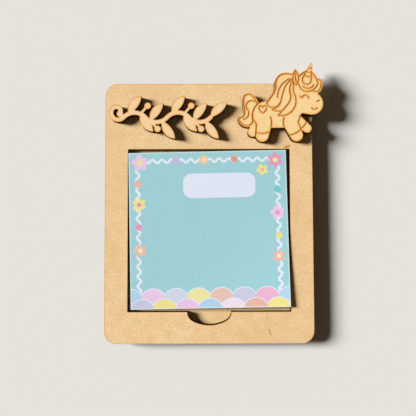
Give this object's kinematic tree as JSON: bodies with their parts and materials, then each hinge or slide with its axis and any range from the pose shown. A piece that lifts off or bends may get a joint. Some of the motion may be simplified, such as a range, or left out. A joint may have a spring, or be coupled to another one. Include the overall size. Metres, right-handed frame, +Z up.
{
  "type": "sticky note holder",
  "caption": "Flat desk holder for a square sticky note pad: a base board and a windowed front frame form a shallow well with a thumb notch, under a headboard with glued-on ornaments.",
  "frame": {"origin": "middle of the base board's underside, on the desk", "axes": "+Z up out of the boards' faces, +Y towards the headboard, +X to the right as it is read"},
  "size_m": [0.1048, 0.1339, 0.009],
  "materials": {
    "board_mdf": "raw laser-cut fibreboard",
    "ornament_mdf": "raw laser-cut fibreboard",
    "note_paper": "printed matt paper",
    "liner_paper": "waxed release paper"
  },
  "bodies": {
    "holder": {"base_board": "board_mdf", "front_frame": "board_mdf", "vine_ornament": "ornament_mdf", "unicorn_plaque": "ornament_mdf"},
    "pad": {"release_liner": "liner_paper", "note_02": "note_paper", "note_03": "note_paper", "note_04": "note_paper", "note_05": "note_paper", "note_06": "note_paper", "note_07": "note_paper", "note_08": "note_paper", "note_09": "note_paper", "note_10": "note_paper", "note_11": "note_paper", "note_12": "note_paper", "note_13": "note_paper", "note_14": "note_paper", "note_15": "note_paper", "note_16": "note_paper", "note_17": "note_paper", "note_18": "note_paper", "note_19": "note_paper", "note_20": "note_paper", "note_21": "note_paper", "note_22": "note_paper", "note_23": "note_paper", "note_24": "note_paper", "note_25": "note_paper", "note_26": "note_paper", "note_27": "note_paper", "note_28": "note_paper", "note_29": "note_paper", "note_30": "note_paper"},
    "top_note": {"note_01": "note_paper"}
  },
  "joints": [
    {"name": "pad_lift", "type": "slide", "parent": "holder", "child": "pad", "axis": [0, 0, 1], "range_m": [0, 0.03]},
    {"name": "note_peel", "type": "hinge", "parent": "pad", "child": "top_note", "pos_m": [-0.00082, 0.02933, 0.00605], "axis": [-0.9998, -0.0192, 0], "range_deg": [0, 120]}
  ]
}
